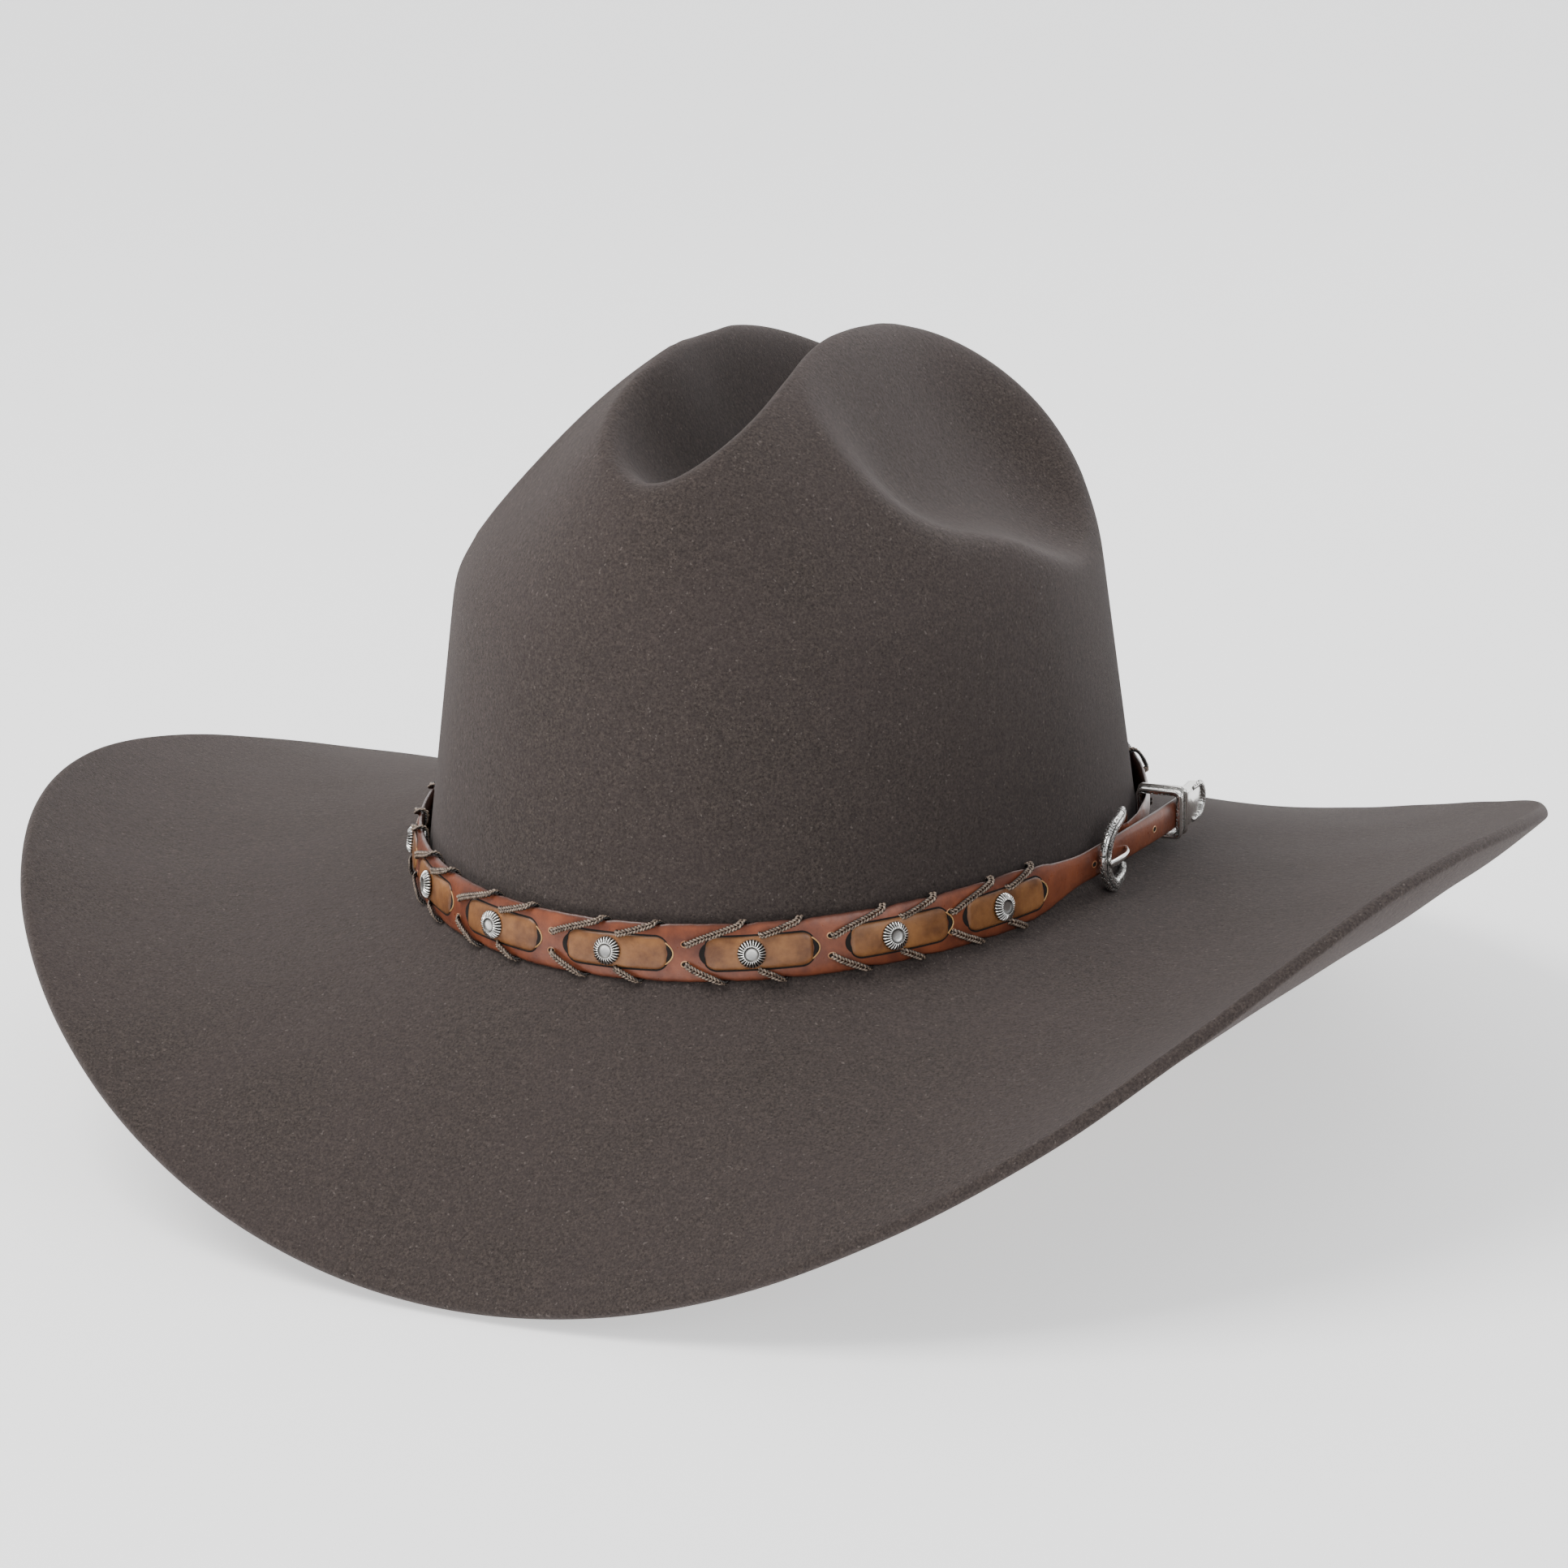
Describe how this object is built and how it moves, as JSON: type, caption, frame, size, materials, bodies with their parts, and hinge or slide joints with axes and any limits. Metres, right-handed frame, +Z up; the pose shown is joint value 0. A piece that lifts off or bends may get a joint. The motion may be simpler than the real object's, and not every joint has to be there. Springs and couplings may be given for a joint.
{
  "type": "felt western hat with leather hatband",
  "caption": "Felt western hat with a cattleman creased crown, a curled brim, and a laced leather hatband closed by a small buckle.",
  "frame": {"origin": "centre of the head opening, at the height of the break where crown meets brim (mean height round the oval)", "axes": "+Z up along the crown, -Y towards the hat's front, +X towards the wearer's left, where the buckle is"},
  "size_m": [0.3915, 0.3714, 0.1945],
  "materials": {
    "fur_felt": "brown-grey fur felt, fine fuzz",
    "sweatband_leather": "smooth tan leather",
    "welt_tape": "dark woven tape",
    "reed_plastic": "pale plastic reed",
    "bow_ribbon": "dark grosgrain ribbon",
    "lining_satin": "champagne satin",
    "clear_film": "clear film",
    "label_paper": "off-white paper",
    "strap_leather": "red-brown waxed leather",
    "inlay_leather": "tan waxed leather",
    "lace_cord": "dark braided cord",
    "antique_silver": "antiqued silver plate",
    "buckle_silver": "engraved antiqued silver plate"
  },
  "bodies": {
    "hat": {"felt_body": "fur_felt", "lining_side": "lining_satin", "lining_tip": "lining_satin", "reed_welt": "welt_tape", "size_label": "label_paper", "sweatband": "sweatband_leather", "sweatband_bow": "bow_ribbon", "sweatband_reed": "reed_plastic", "sweatband_seam_patch": "welt_tape", "tip_protector": "clear_film"},
    "hatband": {"band_strap": "strap_leather", "billet_tip": "buckle_silver", "concho_01": "antique_silver", "concho_02": "antique_silver", "concho_03": "antique_silver", "concho_04": "antique_silver", "concho_05": "antique_silver", "concho_06": "antique_silver", "concho_07": "antique_silver", "concho_08": "antique_silver", "concho_09": "antique_silver", "concho_10": "antique_silver", "concho_11": "antique_silver", "concho_12": "antique_silver", "concho_13": "antique_silver", "concho_14": "antique_silver", "concho_15": "antique_silver", "concho_back_01": "antique_silver", "concho_back_02": "antique_silver", "concho_back_03": "antique_silver", "concho_back_04": "antique_silver", "concho_back_05": "antique_silver", "concho_back_06": "antique_silver", "concho_back_07": "antique_silver", "concho_back_08": "antique_silver", "concho_back_09": "antique_silver", "concho_back_10": "antique_silver", "concho_back_11": "antique_silver", "concho_back_12": "antique_silver", "concho_back_13": "antique_silver", "concho_back_14": "antique_silver", "concho_back_15": "antique_silver", "inlay_strip": "inlay_leather", "lower_lace": "lace_cord", "upper_lace": "lace_cord"},
    "buckle_frame": {"buckle_frame": "buckle_silver"},
    "buckle_prong": {"buckle_prong": "buckle_silver"},
    "keeper_loop": {"keeper_loop": "buckle_silver"}
  },
  "joints": [
    {"name": "hatband_lift", "type": "slide", "parent": "hat", "child": "hatband", "axis": [0, 0, 1], "range_m": [0, 0.15]},
    {"name": "buckle_pivot", "type": "hinge", "parent": "hatband", "child": "buckle_frame", "pos_m": [0.09142, 0.00238, 0.01021], "axis": [0, 0, 1], "range_deg": [0, 5]},
    {"name": "prong_pivot", "type": "hinge", "parent": "buckle_frame", "child": "buckle_prong", "pos_m": [0.09142, 0.00238, 0.01021], "axis": [0, 0, 1], "range_deg": [0, 6]},
    {"name": "keeper_slide", "type": "slide", "parent": "hatband", "child": "keeper_loop", "axis": [0.0208, 0.9998, 0], "range_m": [-0.002, 0.0015]}
  ]
}
